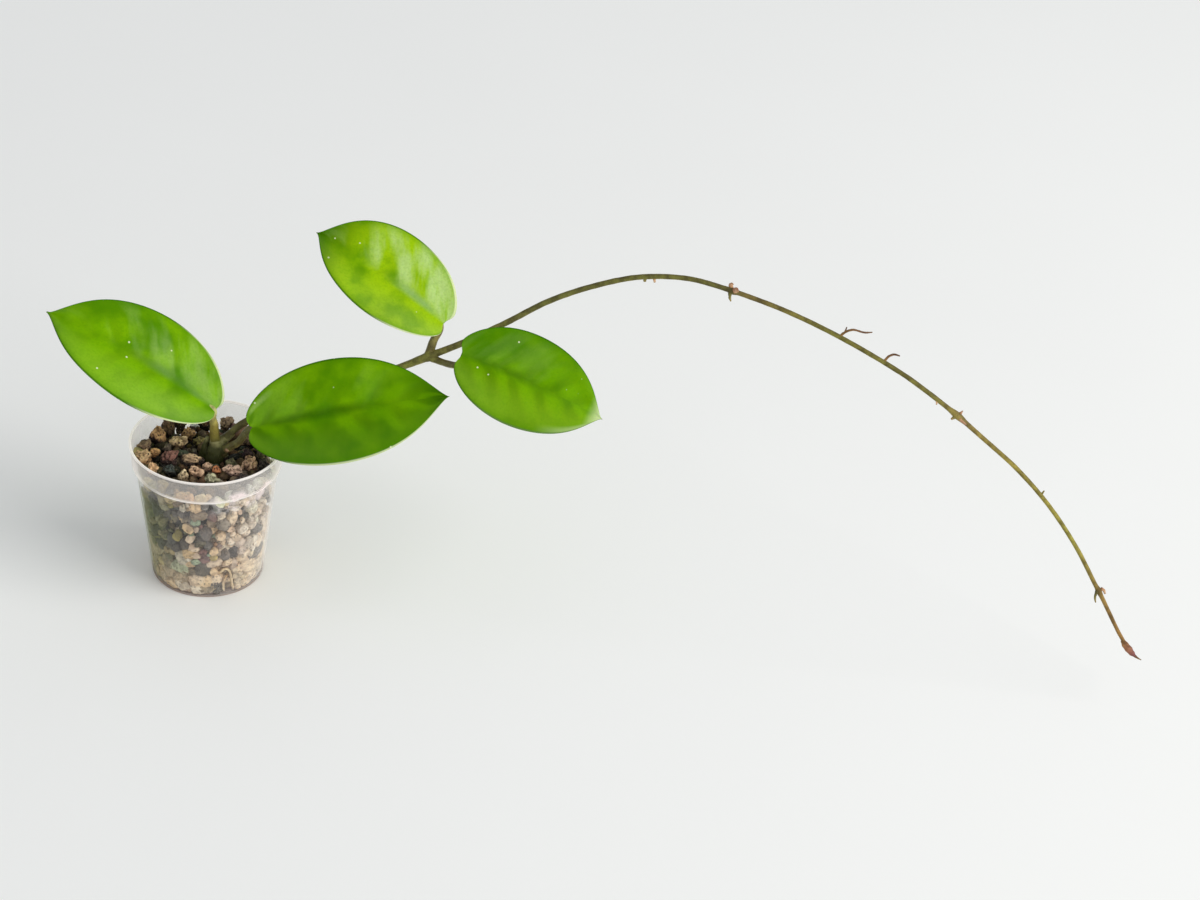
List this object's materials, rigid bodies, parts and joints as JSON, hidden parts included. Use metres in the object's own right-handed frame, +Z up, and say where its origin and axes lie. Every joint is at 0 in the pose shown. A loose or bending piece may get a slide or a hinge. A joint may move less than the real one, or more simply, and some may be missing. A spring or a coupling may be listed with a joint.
{
  "type": "potted hoya plant",
  "caption": "Young hoya with waxy pointed leaves and a long bare arching shoot, rooted in coarse grit in a small frosted nursery pot.",
  "frame": {"origin": "centre of the pot's flat foot, on the surface it stands on", "axes": "+Z up, +X towards the far end of the long shoot, -Y the side from which the leaf faces are seen"},
  "size_m": [0.4553, 0.0894, 0.151],
  "materials": {
    "pot_plastic": "satin",
    "grit": "matte",
    "stone_tan": "matte",
    "stone_pink": "matte",
    "stone_purple": "matte",
    "stone_brown": "matte",
    "stone_olive": "matte",
    "stone_dark": "matte",
    "leaf": "satin",
    "shoot": "satin",
    "young_root": "matte",
    "root": "matte",
    "bud": "satin"
  },
  "bodies": {
    "root": {"pot": "pot_plastic", "grit": "grit", "roots": "root", "main_shoot": "shoot", "leaf_1": "leaf", "leaf_2": "leaf", "leaf_3": "leaf", "leaf_4": "leaf", "aerial_root_1": "young_root", "aerial_root_2": "young_root", "crown_bud": "young_root", "node_3_bud": "young_root", "node_3_spur": "young_root", "node_4_bud": "young_root", "node_4_stub": "young_root", "node_5_scale": "young_root", "node_5_spur": "young_root", "stone_01": "stone_purple", "stone_02": "stone_brown", "stone_03": "stone_brown", "stone_04": "stone_brown", "stone_05": "stone_tan", "stone_06": "stone_tan", "stone_07": "stone_purple", "stone_08": "stone_brown", "stone_09": "stone_pink", "stone_10": "stone_pink", "stone_11": "stone_pink", "stone_12": "stone_tan", "stone_13": "stone_tan", "stone_14": "stone_olive", "stone_15": "stone_tan", "stone_16": "stone_brown", "stone_17": "stone_pink", "stone_18": "stone_dark", "stone_19": "stone_pink", "stone_20": "stone_purple", "stone_21": "stone_olive", "stone_22": "stone_olive", "stone_23": "stone_dark", "stone_24": "stone_purple", "stone_25": "stone_brown", "stone_26": "stone_brown", "stone_27": "stone_olive", "stone_28": "stone_brown", "stone_29": "stone_brown", "stone_30": "stone_tan", "stone_31": "stone_tan", "stone_32": "stone_dark", "tip_bud": "bud"}
  },
  "joints": []
}
